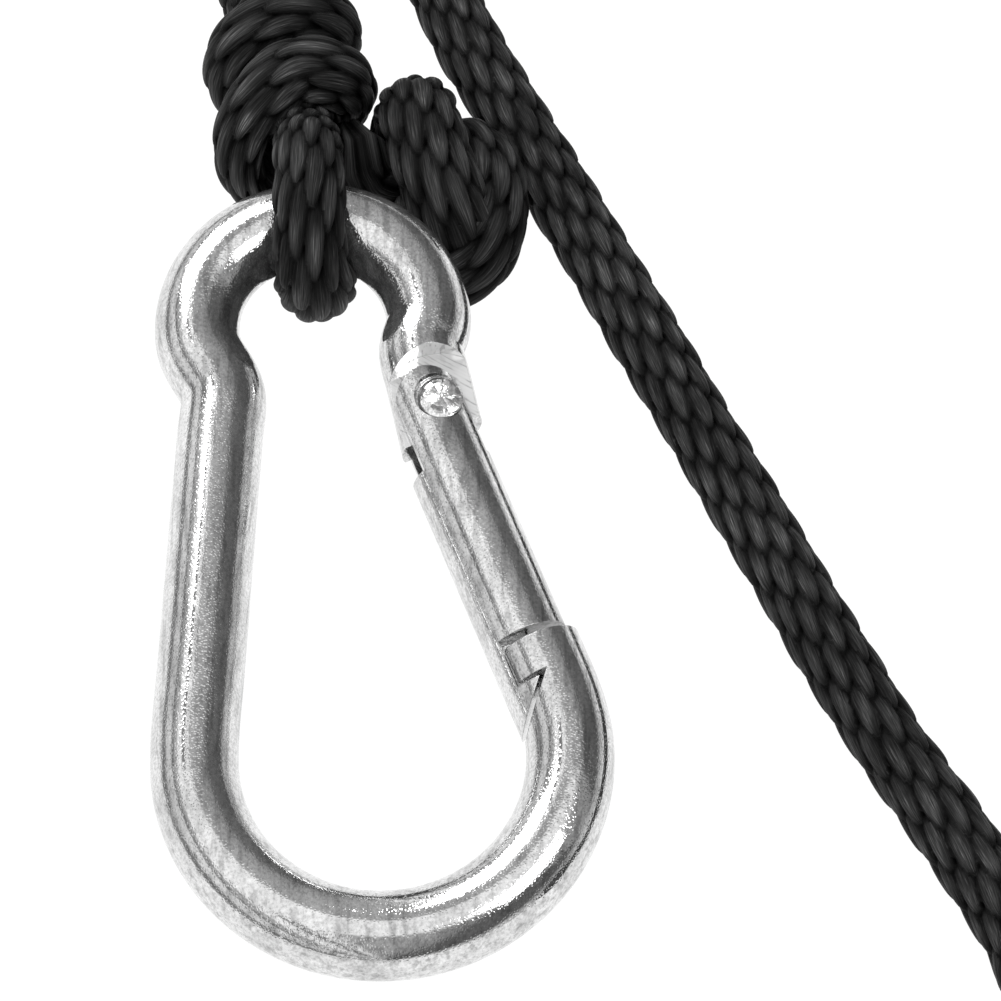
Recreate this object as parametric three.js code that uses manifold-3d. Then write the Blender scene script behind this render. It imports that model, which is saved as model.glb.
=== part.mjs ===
// A swing's hanging rope with its spring snap hook, lying on a flat surface.
//
// The steel hook is a bent round bar: an eye at the far end, a long straight limb, a round bow, and a nose
// with two prongs. A sprung gate turns on a rivet at the eye and closes between the prongs. A braided rope
// is looped round the eye's bar and knotted above it. Its spare length is wound into a tied coil, and its
// free end carries a stopper knot.
//
// Millimetres, +Z up. The origin is below the middle of the hook, on the surface that it lies on, and +Y
// runs along the hook from its bow to its eye.

import * as THREE from 'three';
import { mergeVertices } from 'three/addons/utils/BufferGeometryUtils.js';
import Module from 'manifold-3d';

const wasm = await Module();
wasm.setup();
const rad = THREE.MathUtils.degToRad;

// ---------------------------------------------------------------- driving dimensions

const gap = 0.3; // between touching pieces
const huge = 40; // the reach of a cutting block

// The hook's bar. Hook coordinates: x across the hook, y from bow to eye, z up from its flat side, with
// their origin at the centre of the bow.
const bar = 4; // radius of the bent bar
const bowRadius = 16.9; // centre line of the bow
const limbSlant = rad(2.65); // of the straight limb
const limbTop = 36; // where the limb starts its step out to the eye
const eyeCentre = { x: -7, y: 43.45 };
const eyeRadius = 10.9; // centre line of the eye
const stub = { x: 3.1, y: 41.2, slant: rad(12.5), length: 12 }; // the bar's end, milled to a tongue

// The gate. Gate coordinates: x out from the gate's centre line, y up along it, z as the hook's.
const gateSlant = rad(21.65);
const gateFoot = { x: 3.89, y: 34.06 }; // the point of the gate's centre line beside the rivet
const gateBar = 3.9; // radius
const rivetX = 1.26; // the rivet stands outside the gate's centre line
const forkTop = 3.4; // how far the fork's rounded end reaches past the rivet
const noseTop = -25.45; // the nose's end face
const collar = -24.9; // the gate's shoulder, which faces it
const prongEnd = -28.95;
const prongInner = -2.5;
const wedgeOuter = { x: 0.15, y: -29.05 }; // the slanting line where the wedge meets the nose
const wedgeInner = { x: -4.25, y: -34.35 };

const tongue = { half: 1.5, millRadius: 5.3, end: -2.78, endSlant: rad(10) };
const fork = { slotHalf: 1.8, slotEnd: -6.1, inner: -2.7, outer: 3.6, flatEnd: -6.2 };
const rivet = { pin: 1.5, head: 2.1, headFrom: 2.95, headTo: 3.5, recess: 2.65 };
const bore = { radius: 1.9, end: -20.6 };
const spring = { top: -9.25, bottom: -20.25, radius: 1.3, wire: 0.24, turns: 8 };
const plunger = { radius: 1.5, tip: -3.2, shoulder: -7.55, stem: 0.7, stemEnd: -11.65 };

// How the hook lies: the bow on the surface, the eye raised by the rope under it.
const pitch = rad(6.4);
const hookPlace = new THREE.Vector3(0.54, -18.63, 5.88);

// The rope.
const rope = 3.45; // radius
const loop = { x: -6.6, y: 35.4, z: 11.94, radius: 8.1, strand: 2.9 }; // round the eye's bar
const coil = { x: 24, y: 132, turn: 38, half: 6.9, corner: 3.1 };
const tie = { angle: rad(52), width: 13, coreHalf: 5.8, thick: 0.8, corner: 2.4 };

// The rope's routes where it isn't coiled, on the surface from the main knot to the coil, and from the
// coil to the stopper knot.
const standingRoute = [
  [-11.3, 67.0, 6.9], [-12.1, 71.5, 5.4], [-13.2, 77, 4.1], [-14.4, 83.5, 3.5], [-15.5, 91, 3.45],
  [-16.4, 99.5, 3.45], [-17.1, 109, 3.45], [-17.45, 119, 3.45], [-17.45, 130, 3.45],
];
const freeRoute = [
  [28.5, 90.6, 10.35], [19.8, 90.4, 10.35], [14.4, 89.4, 10.0], [9.7, 86.6, 8.3], [6.2, 82.4, 5.8],
  [4.3, 77.4, 4.1], [4.2, 73.0, 3.5], [5.7, 69.0, 3.45], [8.3, 62.7, 3.45], [14.2, 50.6, 3.45],
  [20.2, 38.4, 3.45], [25.7, 26.8, 3.45], [31.1, 15.5, 3.45], [36.4, 4.5, 3.45], [41.4, -6.2, 3.45],
  [46.8, -16.6, 3.45], [51.7, -25.3, 3.45], [55.6, -33.0, 3.7], [58.0, -38.6, 4.6], [59.2, -42.4, 5.8],
];

// ---------------------------------------------------------------- materials

const zinc = new THREE.MeshStandardMaterial({ color: 0xc9cbcd, roughness: 0.28, metalness: 1 });
const milledZinc = new THREE.MeshStandardMaterial({ color: 0xd6d7d8, roughness: 0.4, metalness: 1 });
const springSteel = new THREE.MeshStandardMaterial({ color: 0x9a9da1, roughness: 0.35, metalness: 1 });
const blackBraid = new THREE.MeshStandardMaterial({ color: 0x1d1e20, roughness: 0.7, metalness: 0 });
const blackStrap = new THREE.MeshStandardMaterial({ color: 0x141416, roughness: 0.85, metalness: 0 });

// ---------------------------------------------------------------- helpers

const hook = new THREE.Group();
hook.position.copy(hookPlace);
hook.rotation.x = pitch;

// The gate's frame inside the hook's.
const gateFrame = new THREE.Matrix4().makeRotationZ(gateSlant).setPosition(gateFoot.x, gateFoot.y, 0);

function solid(geometry, matrix) {
  const g = geometry.clone();
  if (matrix) g.applyMatrix4(matrix);
  g.deleteAttribute('normal');
  g.deleteAttribute('uv');
  const m = mergeVertices(g, 1e-4);
  return new wasm.Manifold(new wasm.Mesh({
    numProp: 3,
    vertProperties: new Float32Array(m.attributes.position.array),
    triVerts: new Uint32Array(m.index.array),
  }));
}

function geometryOf(manifold) {
  const mesh = manifold.getMesh();
  const g = new THREE.BufferGeometry();
  g.setAttribute('position', new THREE.BufferAttribute(new Float32Array(mesh.vertProperties), 3));
  g.setIndex(new THREE.BufferAttribute(new Uint32Array(mesh.triVerts), 1));
  g.computeVertexNormals();
  return g;
}

function named(name, geometry, material) {
  const mesh = new THREE.Mesh(geometry, material);
  mesh.name = name;
  return mesh;
}

function circle(radius, sides) {
  const shape = new THREE.Shape();
  for (let i = 0; i < sides; i++) {
    const a = (2 * Math.PI * (i + 0.5)) / sides;
    shape[i ? 'lineTo' : 'moveTo'](radius * Math.cos(a), radius * Math.sin(a));
  }
  shape.closePath();
  return shape;
}

function sweep(points, radius, sides, steps) {
  const path = new THREE.CatmullRomCurve3(points.map((p) => new THREE.Vector3(...p)), false, 'centripetal');
  return new THREE.ExtrudeGeometry(circle(radius, sides), { extrudePath: path, steps, bevelEnabled: false });
}

function arc(cx, cy, radius, from, to, pieces) {
  return Array.from({ length: pieces + 1 }, (_, i) => {
    const a = from + ((to - from) * i) / pieces;
    return [cx + radius * Math.cos(a), cy + radius * Math.sin(a), 0];
  });
}

// A block between two corners, in gate coordinates unless told otherwise.
function block(x0, x1, y0, y1, z0, z1, turn = 0) {
  const g = new THREE.BoxGeometry(x1 - x0, y1 - y0, z1 - z0);
  g.translate((x0 + x1) / 2, (y0 + y1) / 2, (z0 + z1) / 2);
  if (turn) g.rotateZ(turn);
  return g;
}

function roundedBox(halfX, halfY, corner) {
  const shape = new THREE.Shape();
  const corners = [[1, 1, 0], [-1, 1, 90], [-1, -1, 180], [1, -1, 270]];
  corners.forEach(([sx, sy, from], i) => {
    for (let k = 0; k <= 3; k++) {
      const a = rad(from + 30 * k);
      const x = sx * (halfX - corner) + corner * Math.cos(a);
      const y = sy * (halfY - corner) + corner * Math.sin(a);
      shape[i || k ? 'lineTo' : 'moveTo'](x, y);
    }
  });
  shape.closePath();
  return shape;
}

function lathe(profile, sides) {
  return new THREE.LatheGeometry(profile.map(([r, y]) => new THREE.Vector2(r, y)), sides);
}

// ---------------------------------------------------------------- hook body

function hookCentreLine() {
  const nose = new THREE.Vector3(bowRadius * Math.cos(gateSlant), bowRadius * Math.sin(gateSlant), 0);
  const up = new THREE.Vector3(-Math.sin(gateSlant), Math.cos(gateSlant), 0);
  const noseLength = -noseTop - (gateFoot.y * Math.cos(gateSlant) - gateFoot.x * Math.sin(gateSlant));
  const noseStart = nose.clone().addScaledVector(up, -noseLength);
  const limbFoot = [-bowRadius * Math.cos(limbSlant), bowRadius * Math.sin(limbSlant)];
  const limbAt = (y) => limbFoot[0] + (y - limbFoot[1]) * Math.tan(limbSlant);
  const stubAt = (d) => [stub.x + d * Math.sin(stub.slant), stub.y - d * Math.cos(stub.slant), 0];
  return [
    noseStart.toArray(),
    nose.clone().lerp(noseStart, 0.5).toArray(),
    ...arc(0, 0, bowRadius, gateSlant, -Math.PI - limbSlant, 14),
    [limbAt(8), 8, 0], [limbAt(17), 17, 0], [limbAt(26), 26, 0], [limbAt(32.5), 32.5, 0],
    [limbAt(limbTop), limbTop, 0], [limbAt(limbTop) - 0.75, limbTop + 2.6, 0],
    ...arc(eyeCentre.x, eyeCentre.y, eyeRadius, rad(185), rad(-1), 14),
    stubAt(0), stubAt(3), stubAt(6), stubAt(9), stubAt(stub.length),
  ];
}

function diagonalCutter(clearance) {
  // Everything on the inner side of the wedge's slanting line, below the prongs.
  const along = Math.atan2(wedgeOuter.y - wedgeInner.y, wedgeOuter.x - wedgeInner.x);
  const g = new THREE.BoxGeometry(huge, huge / 2, huge);
  g.translate(0, huge / 4 + clearance, 0);
  g.rotateZ(along);
  g.translate((wedgeOuter.x + wedgeInner.x) / 2, (wedgeOuter.y + wedgeInner.y) / 2, 0);
  return g;
}

function innerSideOfWedge(clearance, top) {
  const belowProngs = solid(block(-huge, huge, -huge, top, -huge, huge));
  return solid(diagonalCutter(clearance)).intersect(belowProngs);
}

function hookBody() {
  let body = solid(sweep(hookCentreLine(), bar, 16, 92));
  const place = (g) => solid(g, gateFrame);
  const rivetAxis = new THREE.Matrix4().makeTranslation(rivetX, 0, 0);
  for (const side of [1, -1]) {
    // The tongue is milled flat on both faces, with a round shoulder above the rivet.
    const z0 = side > 0 ? tongue.half : -tongue.half - 6;
    const round = new THREE.CylinderGeometry(tongue.millRadius, tongue.millRadius, 6, 40);
    round.rotateX(Math.PI / 2);
    round.translate(0, 0, z0 + 3);
    round.applyMatrix4(rivetAxis);
    body = body.subtract(place(round));
    body = body.subtract(place(block(-6, 7, -9, 0, z0, z0 + 6)));
  }
  const end = block(-huge / 3, huge / 3, -7, tongue.end, -huge, huge, tongue.endSlant);
  body = body.subtract(place(end));
  const hole = new THREE.CylinderGeometry(rivet.pin + gap, rivet.pin + gap, 12, 24);
  hole.rotateX(Math.PI / 2);
  hole.applyMatrix4(rivetAxis);
  body = body.subtract(place(hole));

  // The nose: a slot between the prongs, and the room for the gate's wedge below them.
  body = body.subtract(place(block(-8, wedgeOuter.x + gap, prongEnd - 1, noseTop + 2, -1.5, 1.5)));
  body = body.subtract(place(block(-8, prongInner, prongEnd, noseTop + 2, -huge, huge)));
  const wedgeRoom = geometryOf(innerSideOfWedge(0, prongEnd)).applyMatrix4(gateFrame);
  const nearNose = solid(block(-8, 6, -38, prongEnd + 0.01, -huge / 4, huge / 4), gateFrame);
  return body.subtract(solid(wedgeRoom).intersect(nearNose));
}

// ---------------------------------------------------------------- gate and what it holds

function gateBody() {
  const wedgeTop = prongEnd - 0.5;
  const length = -wedgeInner.y + forkTop;
  const barGeometry = new THREE.CylinderGeometry(gateBar, gateBar, length, 24);
  barGeometry.rotateY(Math.PI / 24);
  barGeometry.translate(0, forkTop - length / 2, 0);
  let gate = solid(barGeometry);

  // The fork: a round end, flats on both sides, and the slot for the tongue.
  const crown = new THREE.CylinderGeometry(3.45, 3.45, 2 * gateBar + 2, 40);
  crown.rotateX(Math.PI / 2);
  crown.scale(1, forkTop / 3.45, 1);
  crown.translate((fork.inner + fork.outer) / 2, 0, 0);
  const belowRivet = solid(block(-huge, huge, -huge, 0, -huge, huge));
  gate = gate.intersect(solid(crown).add(belowRivet));
  gate = gate.subtract(solid(block(-6, fork.inner, fork.flatEnd, 8, -6, 6)));
  gate = gate.subtract(solid(block(fork.outer, 6, fork.flatEnd, 8, -6, 6)));
  gate = gate.subtract(solid(block(-8, 8, fork.slotEnd, 8, -fork.slotHalf, fork.slotHalf)));

  // The bore for the spring, and the rivet's hole with a recess at each end for its heads.
  const springBore = new THREE.CylinderGeometry(bore.radius, bore.radius, fork.slotEnd - bore.end + 1, 16);
  springBore.translate(0, (fork.slotEnd + 1 + bore.end) / 2, 0);
  gate = gate.subtract(solid(springBore));
  const hole = new THREE.CylinderGeometry(rivet.pin + gap, rivet.pin + gap, 12, 24);
  hole.rotateX(Math.PI / 2);
  hole.translate(rivetX, 0, 0);
  gate = gate.subtract(solid(hole));
  for (const side of [1, -1]) {
    const recess = new THREE.CylinderGeometry(rivet.head + gap, rivet.head + gap, 4, 24);
    recess.rotateX(Math.PI / 2);
    recess.translate(rivetX, 0, side * (rivet.recess + 2));
    gate = gate.subtract(solid(recess));
  }

  // The free end: a thin neck between the prongs, and a wedge below them.
  for (const side of [1, -1]) {
    const z0 = side > 0 ? 1.2 : -8;
    gate = gate.subtract(solid(block(prongInner - gap, 8, wedgeTop, collar, z0, z0 + 6.8)));
  }
  gate = gate.subtract(solid(block(wedgeOuter.x - 0.1, 8, -huge, collar, -8, 8)));
  const keep = solid(block(-huge, huge, prongEnd, huge, -huge, huge));
  return gate.intersect(keep.add(innerSideOfWedge(gap + 0.1, prongEnd + 0.01)));
}

function rivetGeometry() {
  const { pin, head, headFrom, headTo } = rivet;
  const g = lathe([
    [0, -headTo], [head - 0.35, -headTo], [head, -headTo + 0.3], [head, -headFrom], [pin, -headFrom],
    [pin, headFrom], [head, headFrom], [head, headTo - 0.3], [head - 0.35, headTo], [0, headTo],
  ], 20);
  g.rotateX(Math.PI / 2);
  g.translate(rivetX, 0, 0);
  return g;
}

function springGeometry() {
  const { top, bottom, radius, turns, wire } = spring;
  const height = top - bottom - 2 * wire;
  const points = Array.from({ length: turns * 10 + 1 }, (_, i) => {
    const a = (i / 10) * 2 * Math.PI;
    return [radius * Math.cos(a), bottom + wire + (height * i) / (turns * 10), radius * Math.sin(a)];
  });
  return sweep(points, wire, 5, turns * 10);
}

function plungerGeometry() {
  const { radius, tip, shoulder, stem, stemEnd } = plunger;
  const nose = Array.from({ length: 5 }, (_, i) => {
    const a = rad(22.5 * i);
    return [radius * Math.cos(a), tip - radius + radius * Math.sin(a)];
  });
  nose[nose.length - 1][0] = 0;
  return lathe([[0, stemEnd], [stem, stemEnd], [stem, shoulder], [radius, shoulder], ...nose], 14);
}

// ---------------------------------------------------------------- rope

function eyeLoop() {
  // Over the eye's bar from the main knot, down through the eye, and back beneath the bar to the knot.
  const { x, y, z, radius, strand } = loop;
  const round = Array.from({ length: 9 }, (_, i) => {
    const a = rad(72 + (216 * i) / 8);
    return [x, y + radius * Math.cos(a), z + radius * Math.sin(a)];
  });
  const points = [[x - 0.5, 42.9, 15.3], [x - 0.3, 40.6, 18], ...round, [x, 41.3, 3.9], [x - 0.2, 42.9, 4.1]];
  return sweep(points, strand, 10, 26);
}

function mainKnot() {
  const profile = [
    [0, -11.4], [7.4, -11.4], [8.0, -8], [8.3, -3], [8.3, 3], [7.6, 7], [6.0, 9.8], [4.2, 11.2], [0, 11.2],
  ];
  const g = lathe(profile, 20);
  g.rotateZ(rad(6.5));
  g.translate(-9.6, 55, 8.3);
  return g;
}

function tailKnot() {
  const profile = [
    [0, -10.6], [2.6, -10.2], [4.4, -8.2], [5.2, -4.5], [5.4, 0], [5.4, 4.5], [4.7, 8], [3.0, 10], [0, 10.6],
  ];
  const g = lathe(profile, 16);
  g.rotateZ(rad(16));
  g.translate(6.2, 43.9, 7.3);
  return g;
}

function ringSection(half, corner) {
  return roundedBox(half, half, corner).getPoints().map((p) => new THREE.Vector2(coil.turn + p.x, p.y));
}

function ringGeometry(half, corner, sides) {
  const profile = ringSection(half, corner);
  profile[profile.length - 1].copy(profile[0]);
  const g = new THREE.LatheGeometry(profile, sides);
  g.rotateX(Math.PI / 2);
  g.translate(coil.x, coil.y, coil.half);
  return g;
}

// The tie's own place: a band round the coil's bundle of turns.
function atTie(shape, width) {
  const g = new THREE.ExtrudeGeometry(shape, { depth: width, bevelEnabled: false });
  g.translate(0, 0, -width / 2);
  g.rotateX(Math.PI / 2);
  g.translate(coil.turn, 0, coil.half);
  g.rotateZ(tie.angle);
  g.translate(coil.x, coil.y, 0);
  return g;
}

function coilGeometry() {
  const zone = solid(atTie(roundedBox(12, 12, 1), tie.width + 2 * gap));
  const core = solid(atTie(roundedBox(tie.coreHalf, tie.coreHalf, tie.corner), tie.width + 6));
  return solid(ringGeometry(coil.half, coil.corner, 44)).subtract(zone.subtract(core));
}

function tieGeometry() {
  const inner = tie.coreHalf + gap;
  const band = roundedBox(inner + tie.thick, inner + tie.thick, tie.corner + tie.thick);
  const hole = roundedBox(inner, inner, tie.corner);
  return solid(atTie(band, tie.width)).subtract(solid(atTie(hole, tie.width + 2)));
}

function stopperKnot() {
  const profile = [
    [0, -7.8], [3.4, -7.8], [6.2, -6.2], [7.8, -3], [8.2, 0], [7.8, 3], [6.2, 6.2], [4.6, 7.6], [0, 7.6],
  ];
  const g = lathe(profile, 18);
  g.rotateZ(rad(16));
  g.translate(61.0, -50.9, 8.2);
  return g;
}

function ropeEnd() {
  const points = [[63.2, -58.9, 7.6], [63.9, -61.2, 7.3], [64.6, -63.6, 6.9]];
  return sweep(points, 3.2, 10, 2);
}

// ---------------------------------------------------------------- assembly

const gateGroup = new THREE.Group();
gateGroup.applyMatrix4(gateFrame);
gateGroup.add(
  named('gate', geometryOf(gateBody()), zinc),
  named('hinge_rivet', rivetGeometry(), milledZinc),
  named('gate_spring', springGeometry(), springSteel),
  named('spring_plunger', plungerGeometry(), springSteel),
);
hook.add(named('hook_body', geometryOf(hookBody()), zinc), gateGroup);

const coilClearance = solid(ringGeometry(coil.half + gap, coil.corner, 44));
const standingRun = solid(sweep(standingRoute, rope, 10, 26)).subtract(coilClearance);
const freeRun = solid(sweep(freeRoute, rope, 10, 62)).subtract(coilClearance);

const swingRope = new THREE.Group();
swingRope.add(
  hook,
  named('rope_eye_loop', eyeLoop(), blackBraid),
  named('main_knot', mainKnot(), blackBraid),
  named('tail_knot', tailKnot(), blackBraid),
  named('standing_run', geometryOf(standingRun), blackBraid),
  named('rope_coil', geometryOf(coilGeometry()), blackBraid),
  named('coil_tie', geometryOf(tieGeometry()), blackStrap),
  named('free_run', geometryOf(freeRun), blackBraid),
  named('stopper_knot', stopperKnot(), blackBraid),
  named('rope_end', ropeEnd(), blackBraid),
);

export default swingRope;
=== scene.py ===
"""A swing's hanging rope and its spring snap hook, on a white studio floor."""

import math

import bpy
import numpy as np
from mathutils import Matrix, Vector


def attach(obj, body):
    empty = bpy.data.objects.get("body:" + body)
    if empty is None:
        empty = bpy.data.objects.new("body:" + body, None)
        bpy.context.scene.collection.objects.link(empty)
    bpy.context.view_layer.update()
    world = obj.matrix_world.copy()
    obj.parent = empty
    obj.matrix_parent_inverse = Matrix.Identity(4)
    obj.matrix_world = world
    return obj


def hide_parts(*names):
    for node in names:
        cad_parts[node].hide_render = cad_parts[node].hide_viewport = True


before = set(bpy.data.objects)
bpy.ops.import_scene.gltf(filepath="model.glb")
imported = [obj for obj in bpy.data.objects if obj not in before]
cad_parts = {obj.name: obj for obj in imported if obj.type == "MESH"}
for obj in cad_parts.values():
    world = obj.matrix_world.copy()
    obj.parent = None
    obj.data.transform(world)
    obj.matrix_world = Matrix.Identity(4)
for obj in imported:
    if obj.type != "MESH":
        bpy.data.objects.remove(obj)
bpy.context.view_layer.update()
scene = bpy.context.scene

MM = 0.001

# ---------------------------------------------------------------- dimensions, in millimetres

# The hook's bar, bow, straight limb, eye and the stub that ends in the tongue.
BAR = 4.0
BOW_RADIUS = 16.9
LIMB_SLANT = math.radians(2.65)
LIMB_TOP = 36.3
EYE = (-7.0, 43.45)
EYE_RADIUS = 10.9
STUB = (3.1, 41.2)
STUB_SLANT = math.radians(12.5)
PITCH = math.radians(6.4)
HOOK_PLACE = (0.54, -18.63, 5.88)

# The gate. The origin of its own frame is level with the rivet, and y runs along it, away from the nose.
GATE_SLANT = math.radians(21.65)
GATE_FOOT = (3.89, 34.06)
GATE_BAR = 3.9
GAP = 0.3

# The hinge, in the gate's frame.
RIVET_X = 1.26
RIVET_HOLE = 1.8
RIVET_HEAD = 2.1
RIVET_PIN = 1.5
RIVET_UNDER = 2.95
RIVET_DOME = 3.52
MILL = 5.35
TONGUE_HALF = 1.5
TONGUE_END = -2.65
TONGUE_SLANT = math.radians(5)
FORK_TOP = 3.4
FORK_SLOT = 1.8
FORK_DEPTH = -6.0
FORK_FLATS = (-2.75, 3.7)
FORK_SHOULDERS = (-6.2, -5.7)
CROWN_X = 0.5
CROWN_RADIUS = 3.45
RECESS_RADIUS = 2.4
RECESS_FLOOR = 2.65

# The nose's prongs and the gate's wedge, in the gate's frame.
NOSE_TOP = -25.45
COLLAR = -24.65
PRONG_END = -28.95
PRONG_INNER = -2.5
PRONG_SLOT = 1.5
BLADE_HALF = 1.2
WEDGE_OUTER = (0.15, -29.05)
WEDGE_INNER = (-4.25, -34.35)

# The rope, its braid, and the loop round the eye.
ROPE = 3.42
COLUMNS = 12
STITCH = 5.33
STITCH_REACH = 0.60
STITCH_LEAN = 0.36
STITCH_RISE = 1.42
GROOVE = 1.25
TIP_LENGTH = 1.6
VIEW_TOP = 82.0
LOOP_CENTRE = (-6.75, 35.38, 11.94)
LOOP_RADIUS = 6.86

# The coil, two turns wide and two turns high, and the strap round it. The strap squeezes the outer turns in
# to the radius UNDER_STRAP.
COIL = (24.0, 132.0)
COIL_INNER = 34.55
COIL_MIDDLE = 38.0
COIL_OUTER = 41.45
LOW, HIGH = 3.45, 10.35
COIL_HALF = 6.9
TIE_ANGLE = math.radians(52)
UNDER_STRAP = 40.9
STRAP_HALF, STRAP_CORNER = 6.5, 3.0
STRAP_WIDTH, STRAP_THICK = 12.6, 0.8

LOOK_AT = (11.15, 6.66, 8.72)
CAMERA_AWAY = 400.0
CAMERA_TILT = math.radians(31.4)

# ---------------------------------------------------------------- camera


def add_camera():
    """Looks down on the hook, tilted towards the front, as in the photo."""
    data = bpy.data.cameras.new("camera")
    data.lens = 156.0
    data.sensor_width = 36.0
    data.clip_end = 20.0
    camera = bpy.data.objects.new("camera", data)
    backwards = Vector((0, -math.sin(CAMERA_TILT), math.cos(CAMERA_TILT)))
    camera.location = Vector(LOOK_AT) * MM + CAMERA_AWAY * MM * backwards
    camera.rotation_euler = (CAMERA_TILT, 0, 0)
    scene.collection.objects.link(camera)
    scene.camera = camera


add_camera()

# ---------------------------------------------------------------- helpers


def unit(v):
    """Vectors of length 1, along the last axis."""
    return v / np.maximum(np.linalg.norm(v, axis=-1, keepdims=True), 1e-9)


def smooth(x):
    """0 below 0, 1 above 1, and an S between them."""
    x = np.clip(x, 0.0, 1.0)
    return x * x * (3 - 2 * x)


def curve_through(rows, per_span):
    """A centripetal Catmull-Rom curve through the rows' first three values; the others follow along."""
    rows = np.asarray(rows, float)
    first = 2 * rows[0] - rows[1]
    last = 2 * rows[-1] - rows[-2]
    p = np.vstack([first, rows, last])
    out = []
    for i in range(1, len(p) - 2):
        a, b, c, d = p[i - 1], p[i], p[i + 1], p[i + 2]
        t0 = 0.0
        t1 = t0 + max(np.linalg.norm(b[:3] - a[:3]), 1e-6) ** 0.5
        t2 = t1 + max(np.linalg.norm(c[:3] - b[:3]), 1e-6) ** 0.5
        t3 = t2 + max(np.linalg.norm(d[:3] - c[:3]), 1e-6) ** 0.5
        t = np.linspace(t1, t2, per_span, endpoint=False)[:, None]
        a1 = (t1 - t) / (t1 - t0) * a + (t - t0) / (t1 - t0) * b
        a2 = (t2 - t) / (t2 - t1) * b + (t - t1) / (t2 - t1) * c
        a3 = (t3 - t) / (t3 - t2) * c + (t - t2) / (t3 - t2) * d
        b1 = (t2 - t) / (t2 - t0) * a1 + (t - t0) / (t2 - t0) * a2
        b2 = (t3 - t) / (t3 - t1) * a2 + (t - t1) / (t3 - t1) * a3
        out.append((t2 - t) / (t2 - t1) * b1 + (t - t1) / (t2 - t1) * b2)
    out.append(rows[-1][None])
    return np.vstack(out)


def lengths_along(points):
    """How far along the line each point is."""
    steps = np.linalg.norm(np.diff(points[:, :3], axis=0), axis=1)
    return np.concatenate([[0.0], np.cumsum(steps)])


def resample(rows, at):
    """The rows' values at the given distances along them."""
    s = lengths_along(rows)
    return np.stack([np.interp(at, s, rows[:, k]) for k in range(rows.shape[1])], axis=1)


def frames_along(points):
    """Tangents, and normals that turn as little as they can."""
    tangents = unit(np.gradient(points, axis=0))
    normals = np.zeros_like(points)
    normals[0] = unit(np.cross(tangents[0], [0.0, 0.0, 1.0]))
    for i in range(len(points) - 1):
        n = normals[i] - tangents[i + 1] * (normals[i] @ tangents[i + 1])
        normals[i + 1] = n / np.linalg.norm(n)
    return tangents, normals, np.cross(tangents, normals)


def raw_piece(name, verts, faces):
    """An object with these vertices and faces, still in the vertices' own units."""
    mesh = bpy.data.meshes.new(name)
    mesh.from_pydata([tuple(v) for v in verts], [], faces)
    mesh.update()
    piece = bpy.data.objects.new(name, mesh)
    scene.collection.objects.link(piece)
    return piece


def smooth_piece(name, verts, faces):
    """A smooth-shaded object from vertices in millimetres."""
    piece = raw_piece(name, verts, faces)
    piece.data.transform(Matrix.Scale(MM, 4))
    piece.data.shade_smooth()
    return piece


def add_uv(mesh, at_vertices):
    """Stores two coordinates for each vertex as the map "along"."""
    layer = mesh.uv_layers.new(name="along")
    corners = np.zeros(len(mesh.loops), dtype=np.int32)
    mesh.loops.foreach_get("vertex_index", corners)
    layer.data.foreach_set("uv", at_vertices[corners].reshape(-1).astype(np.float32))


def tube_faces(rings, sides):
    """The faces between rings of vertices, with a cap at each end."""
    faces = []
    for i in range(rings - 1):
        a = i * sides
        b = a + sides
        for j in range(sides):
            k = (j + 1) % sides
            faces.append((a + j, a + k, b + k, b + j))
    faces.append(tuple(reversed(range(sides))))
    faces.append(tuple(range((rings - 1) * sides, rings * sides)))
    return faces


def round_tube(points, radius, sides):
    """Rings of vertices round a line."""
    _, normals, others = frames_along(points)
    turn = np.linspace(0, 2 * math.pi, sides, endpoint=False)
    around = np.cos(turn)[None, :, None] * normals[:, None] + np.sin(turn)[None, :, None] * others[:, None]
    return (points[:, None] + radius * around).reshape(-1, 3)


# ---------------------------------------------------------------- materials


def new_material(name):
    """A material, with its nodes, its links and its shader."""
    material = bpy.data.materials.new(name)
    material.use_nodes = True
    nodes = material.node_tree.nodes
    return material, nodes, material.node_tree.links, nodes["Principled BSDF"]


def noise(nodes, links, coords, scale, detail=3.0, roughness=0.5, stretch=(1, 1, 1), turn=0.0):
    """Noise whose frequency along each axis is multiplied by stretch, after the turn."""
    mapping = nodes.new("ShaderNodeMapping")
    mapping.vector_type = "TEXTURE"
    mapping.inputs["Scale"].default_value = tuple(1 / x for x in stretch)
    mapping.inputs["Rotation"].default_value = (0, 0, turn)
    links.new(coords, mapping.inputs["Vector"])
    texture = nodes.new("ShaderNodeTexNoise")
    texture.inputs["Scale"].default_value = scale
    texture.inputs["Detail"].default_value = detail
    texture.inputs["Roughness"].default_value = roughness
    links.new(mapping.outputs["Vector"], texture.inputs["Vector"])
    return texture.outputs["Fac"]


def dimples(nodes, links, coords, scale):
    """Distance from the nearest of many scattered points: 0 in the middle of each dimple."""
    texture = nodes.new("ShaderNodeTexVoronoi")
    texture.inputs["Scale"].default_value = scale
    links.new(coords, texture.inputs["Vector"])
    return texture.outputs["Distance"]


def ramp(nodes, links, value, stops):
    """A colour ramp. Each stop is a place and a grey or a colour."""
    node = nodes.new("ShaderNodeValToRGB")
    elements = node.color_ramp.elements
    elements.remove(elements[1])
    elements[0].position = stops[0][0]
    for i, (place, colour) in enumerate(stops):
        element = elements[0] if i == 0 else elements.new(place)
        c = colour if isinstance(colour, tuple) else (colour, colour, colour)
        element.color = (*c, 1)
    links.new(value, node.inputs["Fac"])
    return node.outputs["Color"]


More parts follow.
